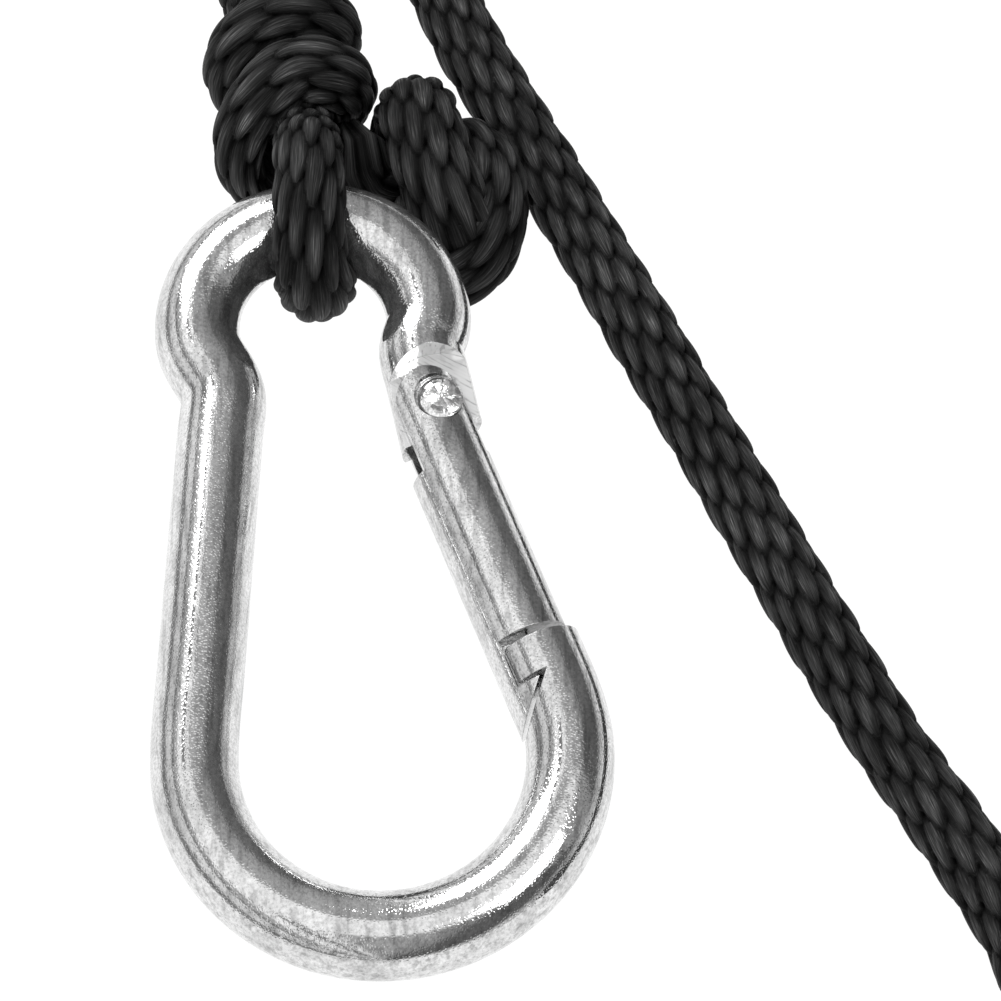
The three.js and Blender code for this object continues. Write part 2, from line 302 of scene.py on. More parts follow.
def bump(nodes, links, height, strength, distance, normal=None):
    """Relief from a height, on top of another node's normal if one is given."""
    node = nodes.new("ShaderNodeBump")
    node.inputs["Strength"].default_value = strength
    node.inputs["Distance"].default_value = distance
    links.new(height, node.inputs["Height"])
    if normal is not None:
        links.new(normal, node.inputs["Normal"])
    return node.outputs["Normal"]


def blend(nodes, links, first, second, factor, how="MIX"):
    """Two colours put together, by a number or by another node's value."""
    node = nodes.new("ShaderNodeMix")
    node.data_type = "RGBA"
    node.blend_type = how
    if isinstance(factor, float):
        node.inputs["Factor"].default_value = factor
    else:
        links.new(factor, node.inputs["Factor"])
    links.new(first, node.inputs["A"])
    links.new(second, node.inputs["B"])
    return node.outputs["Result"]


def object_coords(nodes):
    return nodes.new("ShaderNodeTexCoord").outputs["Object"]


def zinc(name, light=0.78, dark=0.55, rough=(0.04, 0.10), pits=0.21, edge=0.00012):
    """Plated steel with drawn streaks and fine pits. Faces marked as milled show tool lines instead."""
    material, nodes, links, shader = new_material(name)
    coords = object_coords(nodes)
    cloud = noise(nodes, links, coords, 300, 5, 0.7, (1, 0.45, 1))
    speck = noise(nodes, links, coords, 3400, 2, 0.6)
    drawn = noise(nodes, links, coords, 1700, 2, 0.5, (1, 0.07, 1))
    wide = noise(nodes, links, coords, 620, 3, 0.6)
    lines = noise(nodes, links, coords, 900, 2, 0.5, (0.5, 5.0, 1), math.radians(-30))
    cut_face = nodes.new("ShaderNodeAttribute")
    cut_face.attribute_name = "milled"
    plate = ramp(nodes, links, cloud, [(0.32, dark), (0.60, light)])
    grains = ramp(nodes, links, speck, [(0.36, 0.76), (0.48, 0.96), (0.56, 1.0), (0.66, 1.12)])
    streaks = ramp(nodes, links, drawn, [(0.34, 0.72), (0.48, 1.0), (0.66, 1.06)])
    plate = blend(nodes, links, plate, streaks, 1.0, "MULTIPLY")
    plate = blend(nodes, links, plate, grains, 1.0, "MULTIPLY")
    tooled = ramp(nodes, links, lines, [(0.34, 0.60), (0.42, 0.95), (0.62, 1.0)])
    base = blend(nodes, links, plate, tooled, cut_face.outputs["Fac"])
    links.new(base, shader.inputs["Base Color"])
    metallic = ramp(nodes, links, cut_face.outputs["Fac"], [(0.0, 0.92), (1.0, 0.5)])
    links.new(metallic, shader.inputs["Metallic"])
    links.new(ramp(nodes, links, wide, [(0.3, rough[0]), (0.7, rough[1])]), shader.inputs["Roughness"])
    rounded = nodes.new("ShaderNodeBevel")
    rounded.samples = 4
    rounded.inputs["Radius"].default_value = edge
    pitted = ramp(nodes, links, dimples(nodes, links, coords, 4300), [(0.05, 0.0), (0.50, 1.0)])
    heights = blend(nodes, links, pitted, lines, cut_face.outputs["Fac"])
    waves = bump(nodes, links, wide, 0.10, 0.00010, rounded.outputs["Normal"])
    links.new(bump(nodes, links, heights, pits, 0.00004, waves), shader.inputs["Normal"])
    return material


def braid_material():
    """Black fibres that run along each stitch. The hollows between the stitches get painted shade, and the
    crests and the brightest fibres get painted highlights.
    """
    material, nodes, links, shader = new_material("black_braid")
    uv = nodes.new("ShaderNodeUVMap")
    uv.uv_map = "along"
    relief = nodes.new("ShaderNodeAttribute")
    relief.attribute_name = "relief"
    fibres = noise(nodes, links, uv.outputs["UV"], 1.0, 2.5, 0.62, (8.5, 0.36, 1))
    strands = noise(nodes, links, uv.outputs["UV"], 1.0, 1.0, 0.5, (3.0, 0.25, 1))
    patches = noise(nodes, links, uv.outputs["UV"], 1.0, 1.0, 0.5, (0.5, 0.22, 1))
    # Painted shade and highlight: the colour goes from near black in the hollows between the stitches to a
    # lighter grey on their crests, by the stored relief.
    painted_shade_and_crest_highlight = ramp(nodes, links, relief.outputs["Fac"],
                [(0.34, 0.0001), (0.52, 0.004), (0.74, 0.018), (0.90, 0.040), (1.0, 0.075)])
    # Fibre streaks: partly the fibres' own uneven tone, and partly painted glints where the brightest streaks
    # lift the colour several times over.
    fibre_tone_and_painted_glint = ramp(nodes, links, fibres, [(0.34, 0.38), (0.50, 0.9), (0.62, 1.7), (0.72, 3.8)])
    wide = ramp(nodes, links, patches, [(0.35, 0.6), (0.65, 1.5)])
    colour = blend(nodes, links, blend(nodes, links, painted_shade_and_crest_highlight, fibre_tone_and_painted_glint, 1.0, "MULTIPLY"), wide, 1.0, "MULTIPLY")
    links.new(colour, shader.inputs["Base Color"])
    links.new(ramp(nodes, links, fibres, [(0.3, 0.62), (0.7, 0.40)]), shader.inputs["Roughness"])
    shader.inputs["Specular IOR Level"].default_value = 0.05
    coarse = bump(nodes, links, strands, 0.35, 0.00018)
    links.new(bump(nodes, links, fibres, 0.8, 0.00010, coarse), shader.inputs["Normal"])
    return material


def strap_material():
    """Dull black webbing with ribs and some fluff."""
    material, nodes, links, shader = new_material("black_strap")
    uv = nodes.new("ShaderNodeUVMap")
    uv.uv_map = "along"
    wave = nodes.new("ShaderNodeTexWave")
    wave.inputs["Scale"].default_value = 1.1
    wave.inputs["Distortion"].default_value = 0.6
    links.new(uv.outputs["UV"], wave.inputs["Vector"])
    fluff = noise(nodes, links, uv.outputs["UV"], 6.0, 4, 0.7)
    links.new(ramp(nodes, links, fluff, [(0.3, 0.006), (0.7, 0.028)]), shader.inputs["Base Color"])
    shader.inputs["Roughness"].default_value = 0.9
    shader.inputs["Sheen Weight"].default_value = 0.25
    ribs = bump(nodes, links, wave.outputs["Fac"], 0.5, 0.00025)
    links.new(bump(nodes, links, fluff, 0.6, 0.0002, ribs), shader.inputs["Normal"])
    return material


ZINC = zinc("zinc_plate")
RIVET = zinc("rivet_steel", 0.92, 0.80, (0.12, 0.24), 0.3)
SPRING = zinc("spring_steel", 0.62, 0.5, (0.25, 0.35), 0.2)
BRAID = braid_material()
STRAP = strap_material()

# ---------------------------------------------------------------- the rope's centre line
#
# Each row is a point, how thin the rope is pressed along a direction there, how wide across it, and that
# direction.

PLAIN = (1.0, 1.0, 0.0, 0.0, 1.0)


def plain(points):
    """Rows for a strand that is round."""
    return [(*p, *PLAIN) for p in points]


def pressed(points, centre, thin, wide):
    """Rows for a strand that is pressed flat against the middle of its knot."""
    return [(*p, thin, wide, *unit(np.array(p, float) - np.array(centre, float))) for p in points]


def wrap_rows(start, end, turns, places, radius, thin, wide, taper=0.0):
    """Turns round the line from start to end. places gives the share of the line at each angle in turns."""
    per_turn = 12
    start, end = np.array(start, float), np.array(end, float)
    axis = unit(end - start)
    up = unit(np.array([0.0, 0.0, 1.0]) - axis * axis[2])
    side = np.cross(axis, up) * (1 if np.cross(axis, up)[0] > 0 else -1)
    rows = []
    count = int(turns * per_turn) + 1
    for i in range(count):
        t = i / per_turn
        share = np.interp(t, [p[0] for p in places], [p[1] for p in places])
        angle = 2 * math.pi * t
        out = math.cos(angle) * side + math.sin(angle) * up
        reach = radius * (1 - taper * smooth((share - 0.55) / 0.45))
        point = start + share * (end - start) + reach * out
        rows.append((*point, thin, wide, *out))
    return rows


def loop_rows():
    """Round the eye's bar, from beneath it, up through the eye and over the top.

    The strand moves sideways, gets wider and is pressed hardest near 200 degrees, inside the eye.
    """
    rows = []
    cx, cy, cz = LOOP_CENTRE
    for degrees in (266, 240, 214, 188, 162, 136, 110, 84):
        a = math.radians(degrees)
        shift = 0.38 * math.exp(-((degrees - 200) / 45) ** 2)
        wide = 1.0 + 0.17 * math.exp(-((degrees - 200) / 30) ** 2)
        thin = 0.80 - 0.08 * math.exp(-((degrees - 200) / 40) ** 2)
        out = (0.0, math.cos(a), math.sin(a))
        rows.append((cx + shift, cy + LOOP_RADIUS * out[1], cz + LOOP_RADIUS * out[2], thin, wide, *out))
    return rows


def knot_rows():
    """From the tail's tip through both knots and the loop, up to where the standing part leaves."""
    tail = pressed([
        (7.6, 38.6, 6.2), (7.0, 37.9, 8.8), (5.8, 39.8, 11.0), (4.7, 43.0, 12.0), (3.7, 46.8, 12.0),
        (3.0, 50.2, 10.6), (2.6, 52.1, 7.4), (1.9, 50.2, 4.4),
    ], (4.0, 44.5, 7.6), 0.90, 1.17)
    tail += plain([(1.7, 45.5, 3.6), (2.4, 39.8, 3.5)])
    tail += pressed([
        (3.9, 36.0, 3.7), (6.2, 34.6, 4.6), (8.7, 35.5, 6.0), (10.3, 38.8, 7.6), (10.2, 43.5, 8.0),
        (8.4, 47.7, 6.9), (6.2, 49.2, 4.9),
    ], (6.4, 42.0, 3.0), 0.92, 1.13)
    tail += plain([(3.4, 47.8, 4.2), (0.6, 45.8, 5.2), (-1.9, 44.9, 6.7)])
    # The wraps run from the link at the lower right up the knot, so they are laid out from the top and
    # then taken in reverse.
    places = [(0, 0.80), (0.25, 0.74), (0.5, 0.62), (0.75, 0.54), (1.0, 0.44), (1.25, 0.36),
              (1.5, 0.11), (1.75, 0.02), (2.0, 0.03)]
    wraps = wrap_rows((-8.1, 44.6, 8.8), (-10.7, 64.0, 8.5), 2.0, places, 6.0, 0.72, 1.16, 0.18)
    rear = plain([(-8.2, 63.2, 5.6), (-9.8, 62.0, 4.3), (-10.4, 58.0, 4.3), (-10.6, 51.5, 4.5),
                  (-9.6, 46.2, 4.3), (-7.8, 42.0, 4.1), (-6.9, 39.4, 4.1)])
    rear = [(*r[:3], 0.86, 1.02, 0, 0, 1) for r in rear]
    front = plain([(-7.05, 39.4, 18.0), (-7.2, 42.4, 15.6), (-7.6, 45.4, 12.6), (-8.4, 49.0, 10.2),
                   (-9.5, 54.0, 9.4), (-11.0, 59.5, 9.2), (-12.6, 63.6, 8.0)])
    front = [(*r[:3], 0.86, 0.98, 0, 0, 1) for r in front]
    return tail + wraps[::-1] + rear + loop_rows() + front


STANDING = [
    (-13.6, 67.0, 6.6), (-14.2, 71.5, 5.2), (-14.6, 77, 4.1), (-15.1, 83.5, 3.5), (-15.8, 91, 3.45),
    (-16.5, 99.5, 3.45), (-17.1, 109, 3.45), (-17.4, 118, 3.45), (-17.45, 125, 3.45),
]

RUN = [
    (19.8, 90.4, 10.3), (14.4, 89.4, 9.8), (9.7, 86.6, 8.2), (6.2, 82.4, 5.8), (4.3, 77.4, 4.1),
    (4.2, 73.0, 3.5), (5.7, 69.0, 3.45), (8.25, 62.7, 3.45), (11.2, 56.6, 3.45), (14.2, 50.5, 3.45),
    (20.2, 38.4, 3.45), (25.7, 26.8, 3.45), (31.1, 15.5, 3.45), (36.4, 4.5, 3.45), (41.4, -6.2, 3.45),
    (46.7, -16.5, 3.45), (49.8, -21.7, 3.45), (52.6, -26.6, 3.45), (55.2, -31.6, 3.5), (57.2, -36.6, 4.3),
]


def coil_rows():
    """Nearly four turns, clockwise from above: low outside, low inside, high inside, high outside.

    The strap squeezes them where it goes round.
    """
    rows = []
    per_turn = 60
    shift = COIL_OUTER - COIL_INNER
    for i in range(int(3.75 * per_turn) + 1):
        t = i / per_turn
        radius = COIL_OUTER - shift * smooth((t - 0.86) / 0.10) + shift * smooth((t - 2.76) / 0.10)
        height = LOW + (HIGH - LOW) * smooth((t - 1.80) / 0.10)
        angle = math.pi - 2 * math.pi * t
        off = (angle - TIE_ANGLE + math.pi) % (2 * math.pi) - math.pi
        squeeze = 1 - 0.17 * math.exp(-(off / 0.21) ** 2)
        radius = COIL_MIDDLE + (radius - COIL_MIDDLE) * squeeze
        height = COIL_HALF + (height - COIL_HALF) * squeeze
        slimmer = 0.3 + 0.7 * squeeze
        rows.append((COIL[0] + radius * math.cos(angle), COIL[1] + radius * math.sin(angle), height,
                     slimmer, slimmer, 0.0, 0.0, 1.0))
    return rows


def stopper_rows():
    """A double overhand: through the middle, back round itself, and out through the wraps."""
    start, end = (58.9, -44.2, 7.7), (62.6, -57.4, 7.7)
    places = [(0, 0.88), (0.5, 0.72), (1.0, 0.5), (1.5, 0.3), (1.75, 0.16)]
    wraps = wrap_rows(start, end, 1.75, places, 5.0, 0.74, 1.0)
    inward = plain([(58.1, -41.0, 5.6), (59.3, -45.4, 7.2), (60.6, -50.0, 7.4), (61.6, -54.0, 7.4),
                    (63.4, -57.4, 7.3)])
    outward = plain([(59.2, -44.2, 5.8), (60.4, -48.0, 8.6), (61.6, -52.5, 9.2), (62.6, -56.8, 8.6),
                     (63.7, -60.6, 7.6), (64.6, -63.4, 6.9)])
    return inward + wraps + outward


def stitches(column, place):
    """The height of the braid at each place in its columns, and the fibres' two coordinates there.

    column counts the columns round the rope, and place the stitches along it. Each column's stitches lie two
    thirds of a stitch further on than the last one's. A stitch is an oval that leans to one side and is
    higher and narrower at its front end.
    """
    width = 2 * math.pi * ROPE / COLUMNS
    height = np.full(column.shape, -1.0)
    fibre_u = np.zeros(column.shape)
    fibre_v = np.zeros(column.shape)
    for dc in (-1, 0, 1):
        c = np.floor(column) + dc
        offset_along = (c % 3) * 2.0 / 3.0
        nearest = np.round(place - offset_along)
        for dk in (-1, 0, 1):
            k = nearest + dk
            y = (place - offset_along - k) / STITCH_REACH
            x = (column - c - 0.5) * width - STITCH_LEAN * y
            half = width * (0.66 - 0.12 * y)
            body = 1 - np.abs(x / half) ** 2 - np.abs(y) ** 2.4
            jitter = 0.05 * np.sin(12.9 * (c % COLUMNS) + 7.3 * k)
            bulge = np.where(body > 0, np.sqrt(np.maximum(body, 0.0)) + 0.36 * y + jitter, -0.5)
            top = bulge > height
            height = np.where(top, bulge, height)
            waist = np.sqrt(np.maximum(1.05 - np.abs(y) ** 2.4, 0.08))
            across = x / half / waist * 0.62 * width + 3.7 * (c % COLUMNS) + 1.9 * k
            along = y * STITCH_REACH * STITCH + 5.1 * k + 2.3 * (c % COLUMNS)
            fibre_u = np.where(top, across, fibre_u)
            fibre_v = np.where(top, along, fibre_v)
    return height, fibre_u, fibre_v


def ring_places(line, fine, coarse):
    """Distances along the line for the rope's rings, closer together where the camera sees them."""
    s = lengths_along(line)
    near = (line[:, 1] < VIEW_TOP).astype(float)
    places = [0.0]
    while places[-1] < s[-1] - coarse:
        places.append(places[-1] + (fine if np.interp(places[-1], s, near) > 0.4 else coarse))
    places.append(s[-1])
    return np.array(places)


def add_rope(name, rows, fine=0.34, coarse=0.9, sides=96, start=0.0, ends=(True, True), turns_at=None):
    """A braided rope along the rows: the stitches of its columns are real relief.

    The stitches point back along the rows, and forwards past the place turns_at, if there is one.
    """
    dense = curve_through(rows, 20)
    for _ in range(3):
        dense[1:-1] = 0.25 * dense[:-2] + 0.5 * dense[1:-1] + 0.25 * dense[2:]
    at = ring_places(dense, fine, coarse)
    line = resample(dense, at)
    points = line[:, :3]
    tangents, normals, others = frames_along(points)
    thin, wide = line[:, 3], line[:, 4]
    press = line[:, 5:8] - tangents * np.sum(line[:, 5:8] * tangents, axis=1, keepdims=True)
    press = unit(press)
    across = np.cross(tangents, press)

    turn = 2 * math.pi * (np.arange(sides) + 0.5) / sides
    around = np.cos(turn)[None, :, None] * normals[:, None] + np.sin(turn)[None, :, None] * others[:, None]
    along_press = np.sum(around * press[:, None], axis=2)[..., None]
    along_across = np.sum(around * across[:, None], axis=2)[..., None]
    # Where the rope is pressed hard, its inner side is flat and its outer side round.
    sink = np.clip(1.8 * (0.95 - thin), 0.0, 0.5)[:, None, None]
    depth = np.maximum(along_press - sink * along_across ** 2, -1 + 0.36 * along_across ** 2)
    offset = depth * thin[:, None, None] * press[:, None]
    offset = offset + along_across * wide[:, None, None] * across[:, None]

    way = np.full(len(at), -1.0)
    if turns_at is not None:
        way[np.argmin(np.linalg.norm(points - np.array(turns_at), axis=1)):] = 1.0
    column = way[:, None] * (turn / (2 * math.pi) * COLUMNS)[None, :]
    place = (way * (at + start) / STITCH)[:, None]
    height, fibre_u, fibre_v = stitches(column, place)
    relief = np.clip((height + 0.25) / 1.45, 0, 1.05)
    radius = ROPE - GROOVE + STITCH_RISE * relief ** 0.8
    radius *= 1 + 0.010 * np.sin(place * 1.7 + column)
    if ends[0]:
        radius *= np.sqrt(np.clip((at / TIP_LENGTH)[:, None], 0.02, 1))
    if ends[1]:
        radius *= np.sqrt(np.clip(((at[-1] - at) / TIP_LENGTH)[:, None], 0.02, 1))
    verts = points[:, None] + offset * radius[..., None]
    verts[..., 2] = np.maximum(verts[..., 2], 0.02)
    piece = smooth_piece(name, verts.reshape(-1, 3), tube_faces(len(at), sides))

    mesh = piece.data
    # The relief is also read by the braid's colour, which paints shade into the hollows and highlights onto
    # the crests.
    attribute = mesh.attributes.new("relief", "FLOAT", "POINT")
    attribute.data.foreach_set("value", relief.reshape(-1).astype(np.float32))
    add_uv(mesh, np.stack([fibre_u.reshape(-1), fibre_v.reshape(-1)], axis=1))
    mesh.materials.append(BRAID)
    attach(piece, "rope")
    return piece, points * MM, at[-1]


def make_rope():
    """One rope as two meshes that meet end to end where it leaves the view at the top."""
    knots = knot_rows() + plain(STANDING[:4])
    upper, upper_path, upper_length = add_rope("knotted_rope", knots, ends=(True, False))
    # The second stretch starts on the first one's last two points, so that the braid runs on. Its stitches
    # turn round under the strap.
    rest = plain(STANDING[3:]) + coil_rows() + plain(RUN) + stopper_rows()
    strap_at = (COIL[0] + UNDER_STRAP * math.cos(TIE_ANGLE), COIL[1] + UNDER_STRAP * math.sin(TIE_ANGLE),
                LOW + 0.6)
    lower, lower_path, lower_length = add_rope(
        "coiled_rope", rest, 0.38, 1.0, 72, start=upper_length, ends=(False, True), turns_at=strap_at)
    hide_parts("rope_eye_loop", "main_knot", "tail_knot", "standing_run")
    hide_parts("rope_coil", "free_run", "stopper_knot", "rope_end")
    return (upper, upper_path, upper_length), (lower, lower_path, lower_length)


def rounded_loop(half, corner, count):
    """Evenly spaced points round a rounded square, and the length round it."""
    points = []
    for quarter in range(4):
        base = quarter * math.pi / 2
        cx = (half - corner) * (1 if quarter in (0, 3) else -1)
        cz = (half - corner) * (1 if quarter in (0, 1) else -1)
        for k in range(9):
            a = base + k * math.pi / 16
            points.append((cx + corner * math.cos(a), cz + corner * math.sin(a)))
    points = np.array(points + points[:1])
    s = np.concatenate([[0], np.cumsum(np.linalg.norm(np.diff(points, axis=0), axis=1))])
    at = np.linspace(0, s[-1], count, endpoint=False)
    return np.stack([np.interp(at, s, points[:, 0]), np.interp(at, s, points[:, 1])], axis=1), s[-1]


def make_tie():
    """A hook-and-loop strap round the coil's turns, its end lapped over itself."""
    count = 190
    sides = 28
    loop, total = rounded_loop(STRAP_HALF, STRAP_CORNER, count)
    lap = int(count * 0.30)
    order = [i % count for i in range(count + lap)]
    line = loop[order]
    tangents = unit(np.gradient(line, axis=0))
    outward = np.stack([tangents[:, 1], -tangents[:, 0]], axis=1)
    inner_layer = np.arange(len(line)) < count
    lift = np.where(inner_layer, 0.0, STRAP_THICK * 0.92)
    lift = np.convolve(np.pad(lift, 4, mode="edge"), np.ones(9) / 9, mode="valid")
    line = line + outward * lift[:, None]
    profile = []
    for k in range(sides):
        cosine, sine = math.cos(2 * math.pi * k / sides), math.sin(2 * math.pi * k / sides)
        across = math.copysign(abs(cosine) ** 0.25, cosine) * STRAP_WIDTH / 2
        out = math.copysign(abs(sine) ** 0.8, sine) * STRAP_THICK / 2
        profile.append((across, out))
    profile = np.array(profile)
    verts = []
    rounded = 12
    for i, (place, away) in enumerate(zip(line, outward)):
        narrow = 1.0
        if i > len(line) - rounded:
            narrow = math.sqrt(max(1 - ((i - len(line) + rounded) / (rounded + 0.5)) ** 2, 0.03))
        for across, out in profile:
            x, z = place + away * out
            verts.append((x, across * narrow, z))
    verts = np.array(verts)
    # Local x is along the coil's radius, y along the turns and z up.
    verts[:, 0] += COIL_MIDDLE
    verts[:, 2] += COIL_HALF
    cosine, sine = math.cos(TIE_ANGLE), math.sin(TIE_ANGLE)
    x = verts[:, 0] * cosine - verts[:, 1] * sine + COIL[0]
    y = verts[:, 0] * sine + verts[:, 1] * cosine + COIL[1]
    z = np.maximum(verts[:, 2], 0.01)
    piece = smooth_piece("coil_strap", np.stack([x, y, z], axis=1), tube_faces(len(line), sides))
    vertex = np.arange(len(verts))
    add_uv(piece.data, np.stack([(vertex // sides) * total / count, profile[vertex % sides, 0]], axis=1))
    piece.data.materials.append(STRAP)
    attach(piece, "rope")
    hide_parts("coil_tie")
    return piece


upper, lower = make_rope()
strap = make_tie()

# ---------------------------------------------------------------- the hook

TO_HOOK = Matrix.Translation(HOOK_PLACE) @ Matrix.Rotation(PITCH, 4, "X")
TO_GATE = Matrix.Translation((*GATE_FOOT, 0)) @ Matrix.Rotation(GATE_SLANT, 4, "Z")


def arc(cx, cy, radius, start, end, pieces):
    """Points on an arc in the hook's plane."""
    turn = np.linspace(start, end, pieces + 1)
    return [(cx + radius * math.cos(a), cy + radius * math.sin(a), 0.0) for a in turn]


def hook_line():
    """The middle of the hook's bar, from the nose round the bow, up the limb and round the eye."""
    nose = np.array([BOW_RADIUS * math.cos(GATE_SLANT), BOW_RADIUS * math.sin(GATE_SLANT), 0.0])
    up = np.array([-math.sin(GATE_SLANT), math.cos(GATE_SLANT), 0.0])
    reach = -NOSE_TOP - (GATE_FOOT[1] * math.cos(GATE_SLANT) - GATE_FOOT[0] * math.sin(GATE_SLANT))
    start = nose - up * reach
    foot = (-BOW_RADIUS * math.cos(LIMB_SLANT), BOW_RADIUS * math.sin(LIMB_SLANT))

    def limb(y):
        return foot[0] + (y - foot[1]) * math.tan(LIMB_SLANT)

    def stub(d):
        return (STUB[0] + d * math.sin(STUB_SLANT), STUB[1] - d * math.cos(STUB_SLANT), 0.0)

    points = [tuple(start), tuple((nose + start) / 2)]
    points += arc(0, 0, BOW_RADIUS, GATE_SLANT, -math.pi - LIMB_SLANT, 14)
    points += [(limb(y), y, 0.0) for y in (8, 17, 26, 32.5, LIMB_TOP)]
    points += arc(*EYE, EYE_RADIUS, math.radians(193), math.radians(-1), 14)
    points += [stub(d) for d in (0, 3, 6, 9, 12)]
    return points


def box_cutter(x0, x1, y0, y1, z0, z1, turn=0.0):
    """A box, turned about z.

    In the calls, a bare number of 6 or more only has to reach past the piece that is cut, and 0 is level
    with the rivet.
    """
    corners = [(x, y, z) for x in (x0, x1) for y in (y0, y1) for z in (z0, z1)]
    faces = [(0, 1, 3, 2), (4, 6, 7, 5), (0, 4, 5, 1), (2, 3, 7, 6), (0, 2, 6, 4), (1, 5, 7, 3)]
    box = raw_piece("cutter", corners, faces)
    box.data.transform(Matrix.Rotation(turn, 4, "Z"))
    return box


def round_cutter(x, y, radius, z0, z1, sides, stretch=1.0):
    """A cylinder along z, or an oval one where its radius along y is stretched."""
    turn = np.linspace(0, 2 * math.pi, sides, endpoint=False)
    ring = [(x + radius * math.cos(a), y + stretch * radius * math.sin(a)) for a in turn]
    verts = [(*p, z) for z in (z0, z1) for p in ring]
    return raw_piece("cutter", verts, tube_faces(2, sides))


def wedge_room(clearance, top):
    """Everything on the inner side of the wedge's slanting line, up to the given height."""
    dx, dy = WEDGE_OUTER[0] - WEDGE_INNER[0], WEDGE_OUTER[1] - WEDGE_INNER[1]
    size = math.hypot(dx, dy)
    nx, ny = -dy / size * clearance, dx / size * clearance

    def on_line(y):
        return WEDGE_INNER[0] + (y - WEDGE_INNER[1]) * dx / dy

    low = -38.0
    shift = nx - ny * dx / dy
    outline = [(-14.0, low), (on_line(low) + shift, low), (on_line(top) + shift, top), (-14.0, top)]
    verts = [(x, y, z) for z in (-9.0, 9.0) for x, y in outline]
    return raw_piece("cutter", verts, tube_faces(2, 4))


def cut(piece, other, how="DIFFERENCE"):
    """Cuts the piece with the other one, or joins them, and removes the other one."""
    modifier = piece.modifiers.new("cut", "BOOLEAN")
    modifier.object = other
    modifier.operation = how
    modifier.solver = "MANIFOLD"
    graph = bpy.context.evaluated_depsgraph_get()
    result = bpy.data.meshes.new_from_object(piece.evaluated_get(graph))
    piece.modifiers.clear()
    piece.data = result
    bpy.data.objects.remove(other)


def finish_metal(piece, to_world, body, material, sharp=28):
    """Puts a cut piece in place, keeps its edges above the sharp angle crisp and gives it to its body."""
    mesh = piece.data
    mesh.transform(to_world)
    mesh.transform(Matrix.Scale(MM, 4))
    mesh.shade_smooth()
    mesh.set_sharp_from_angle(angle=math.radians(sharp))
    mesh.materials.clear()
    mesh.materials.append(material)
    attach(piece, body)


def mark_milled(piece, is_milled):
    """Marks the faces that a cutter made. is_milled is given each face's centre and normal."""
    mesh = piece.data
    mark = mesh.attributes.new("milled", "FLOAT", "FACE")
    mark.data.foreach_set("value", [float(is_milled(f.center, f.normal)) for f in mesh.polygons])


def make_hook_body():
    """The bent bar, with the tongue at the end of its stub and the two prongs of its nose."""
    line = curve_through(hook_line(), 14)
    at = np.arange(0, lengths_along(line)[-1], 0.55)
    line = resample(line, np.append(at, lengths_along(line)[-1]))
    for _ in range(4):
        line[1:-1] = 0.25 * line[:-2] + 0.5 * line[1:-1] + 0.25 * line[2:]
    body = raw_piece("steel_hook", round_tube(line, BAR, 64), tube_faces(len(line), 64))
    # From here on the nose and the tongue are cut in the gate's own frame, with the rivet on the x axis.
    body.data.transform(TO_GATE.inverted())
    for side in (1, -1):
        low, high = sorted((TONGUE_HALF * side, 7.5 * side))
        cut(body, round_cutter(RIVET_X, 0, MILL, low, high, 96))
        cut(body, box_cutter(-6, 7, -9, 0, low, high))
    # The tongue's slanted end, and the rivet's hole.
    cut(body, box_cutter(-13, 13, -7, TONGUE_END, -20, 20, TONGUE_SLANT))
    cut(body, round_cutter(RIVET_X, 0, RIVET_HOLE, -6, 6, 40))
    # The slot between the nose's two prongs, their inner faces, and the room for the gate's wedge.
    cut(body, box_cutter(-8, WEDGE_OUTER[0] + GAP, PRONG_END - 1, NOSE_TOP + 2, -PRONG_SLOT, PRONG_SLOT))
    cut(body, box_cutter(-8, PRONG_INNER, PRONG_END, NOSE_TOP + 2, -20, 20))
    cut(body, wedge_room(0.0, PRONG_END))
    body.data.update()

    def from_a_cutter(centre, normal):
        """The tongue's flats and the arcs at their ends, and the prongs' tops and inner faces."""
        near_rivet = abs(centre.y) < 9 and abs(centre.z) > 1.4
        flat = abs(normal.z) > 0.99 and abs(abs(centre.z) - TONGUE_HALF) < 0.05
        on_arc = abs(math.hypot(centre.x - RIVET_X, centre.y) - MILL) < 0.12 and abs(normal.z) < 0.1
        nose = centre.y < NOSE_TOP + 0.1 and centre.x < 1.5 and centre.y > -36
        on_cheek = abs(centre.y - NOSE_TOP) < 0.05 or abs(centre.x - PRONG_INNER) < 0.05
        return (near_rivet and (flat or on_arc)) or (nose and on_cheek and abs(normal.z) < 0.05)

    mark_milled(body, from_a_cutter)
    body.data.transform(TO_GATE)
    finish_metal(body, TO_HOOK, "hook", ZINC)
    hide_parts("hook_body")


